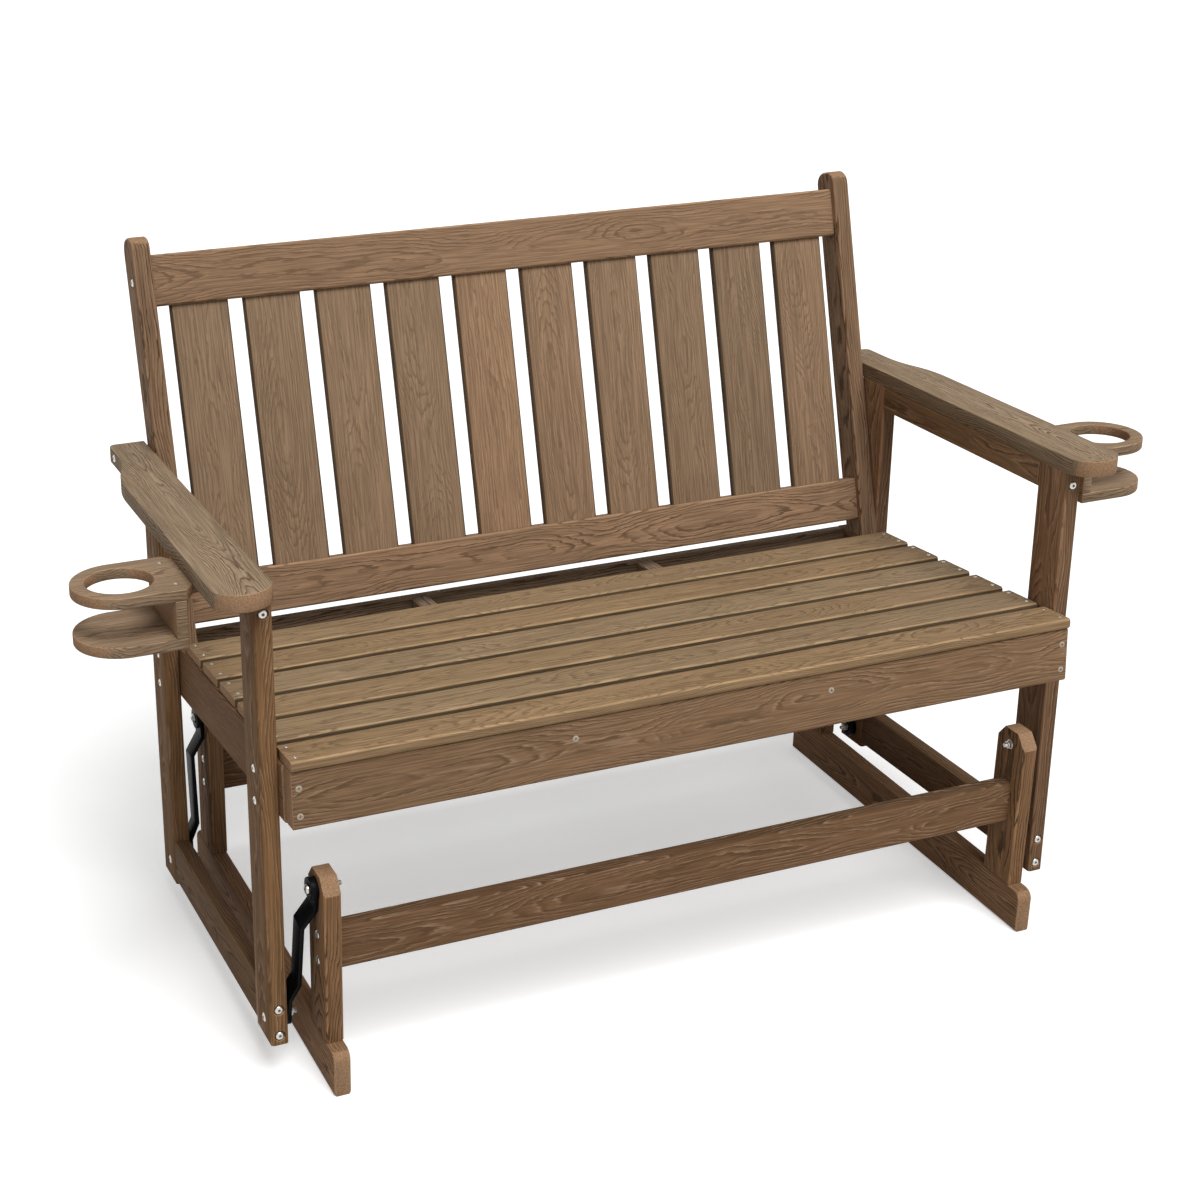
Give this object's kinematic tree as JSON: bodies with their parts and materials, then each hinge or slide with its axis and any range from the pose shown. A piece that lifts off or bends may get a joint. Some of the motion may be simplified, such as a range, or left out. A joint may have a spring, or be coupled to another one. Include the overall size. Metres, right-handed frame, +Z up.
{
  "type": "glider bench",
  "caption": "Two-seat porch glider bench: a slatted seat and back with arms and cup holders, hung on four swing links over a low base.",
  "frame": {"origin": "on the floor, under the middle of the bench's bounding box", "axes": "+X along the bench to the right as seen from the front, +Y from front to back, +Z up"},
  "size_m": [1.486, 0.686, 0.9123],
  "materials": {
    "lumber": "brown plastic lumber with a moulded wood grain, matt",
    "link_steel": "black powder coat",
    "stainless": "plain stainless",
    "bush_nylon": "black nylon"
  },
  "bodies": {
    "base": {"base_bolts": "stainless", "foot_left": "lumber", "foot_right": "lumber", "stretcher_front": "lumber", "stretcher_rear": "lumber", "upper_bushes": "bush_nylon", "upper_pivot_bolts": "stainless", "upright_front_left": "lumber", "upright_front_right": "lumber", "upright_rear_left": "lumber", "upright_rear_right": "lumber"},
    "link_front_left": {"link_front_left": "link_steel"},
    "link_front_right": {"link_front_right": "link_steel"},
    "link_rear_left": {"link_rear_left": "link_steel"},
    "link_rear_right": {"link_rear_right": "link_steel"},
    "carriage": {"apron": "lumber", "arm_rail_left": "lumber", "arm_rail_right": "lumber", "armrest_left": "lumber", "armrest_right": "lumber", "back_bottom_rail": "lumber", "back_slat_1": "lumber", "back_slat_10": "lumber", "back_slat_2": "lumber", "back_slat_3": "lumber", "back_slat_4": "lumber", "back_slat_5": "lumber", "back_slat_6": "lumber", "back_slat_7": "lumber", "back_slat_8": "lumber", "back_slat_9": "lumber", "back_top_rail": "lumber", "bottom_rail_left": "lumber", "bottom_rail_right": "lumber", "brace_left": "lumber", "brace_right": "lumber", "cup_block_left": "lumber", "cup_block_right": "lumber", "cup_ring_left": "lumber", "cup_ring_right": "lumber", "cup_tray_left": "lumber", "cup_tray_right": "lumber", "frame_bolts": "stainless", "leg_front_left": "lumber", "leg_front_right": "lumber", "leg_rear_left": "lumber", "leg_rear_right": "lumber", "lower_bushes": "bush_nylon", "lower_pivot_bolts": "stainless", "rear_seat_rail": "lumber", "seat_rail_left": "lumber", "seat_rail_right": "lumber", "seat_slat_1": "lumber", "seat_slat_2": "lumber", "seat_slat_3": "lumber", "seat_slat_4": "lumber", "seat_slat_5": "lumber", "seat_slat_6": "lumber", "stile_left": "lumber", "stile_right": "lumber"}
  },
  "joints": [
    {"name": "front_left_swing", "type": "hinge", "parent": "base", "child": "link_front_left", "pos_m": [-0.509, -0.2884, 0.263], "axis": [1, 0, 0], "range_deg": [-15, 15]},
    {"name": "front_right_swing", "type": "hinge", "parent": "base", "child": "link_front_right", "pos_m": [0.509, -0.2884, 0.263], "axis": [1, 0, 0], "range_deg": [-16, 16]},
    {"name": "rear_left_swing", "type": "hinge", "parent": "base", "child": "link_rear_left", "pos_m": [-0.509, 0.1956, 0.263], "axis": [1, 0, 0], "range_deg": [-16, 16]},
    {"name": "rear_right_swing", "type": "hinge", "parent": "base", "child": "link_rear_right", "pos_m": [0.509, 0.1956, 0.263], "axis": [1, 0, 0], "range_deg": [-16, 16]},
    {"name": "carriage_turn", "type": "hinge", "parent": "link_front_left", "child": "carriage", "pos_m": [-0.536, -0.25286, 0.07321], "axis": [1, 0, 0], "range_deg": [-18, 18]}
  ],
  "couplings": [
    {"joint": "front_right_swing", "follows": "front_left_swing", "ratio": 1},
    {"joint": "rear_left_swing", "follows": "front_left_swing", "ratio": 0.93696},
    {"joint": "rear_right_swing", "follows": "front_left_swing", "ratio": 0.93696},
    {"joint": "carriage_turn", "follows": "front_left_swing", "ratio": -1.1269}
  ]
}
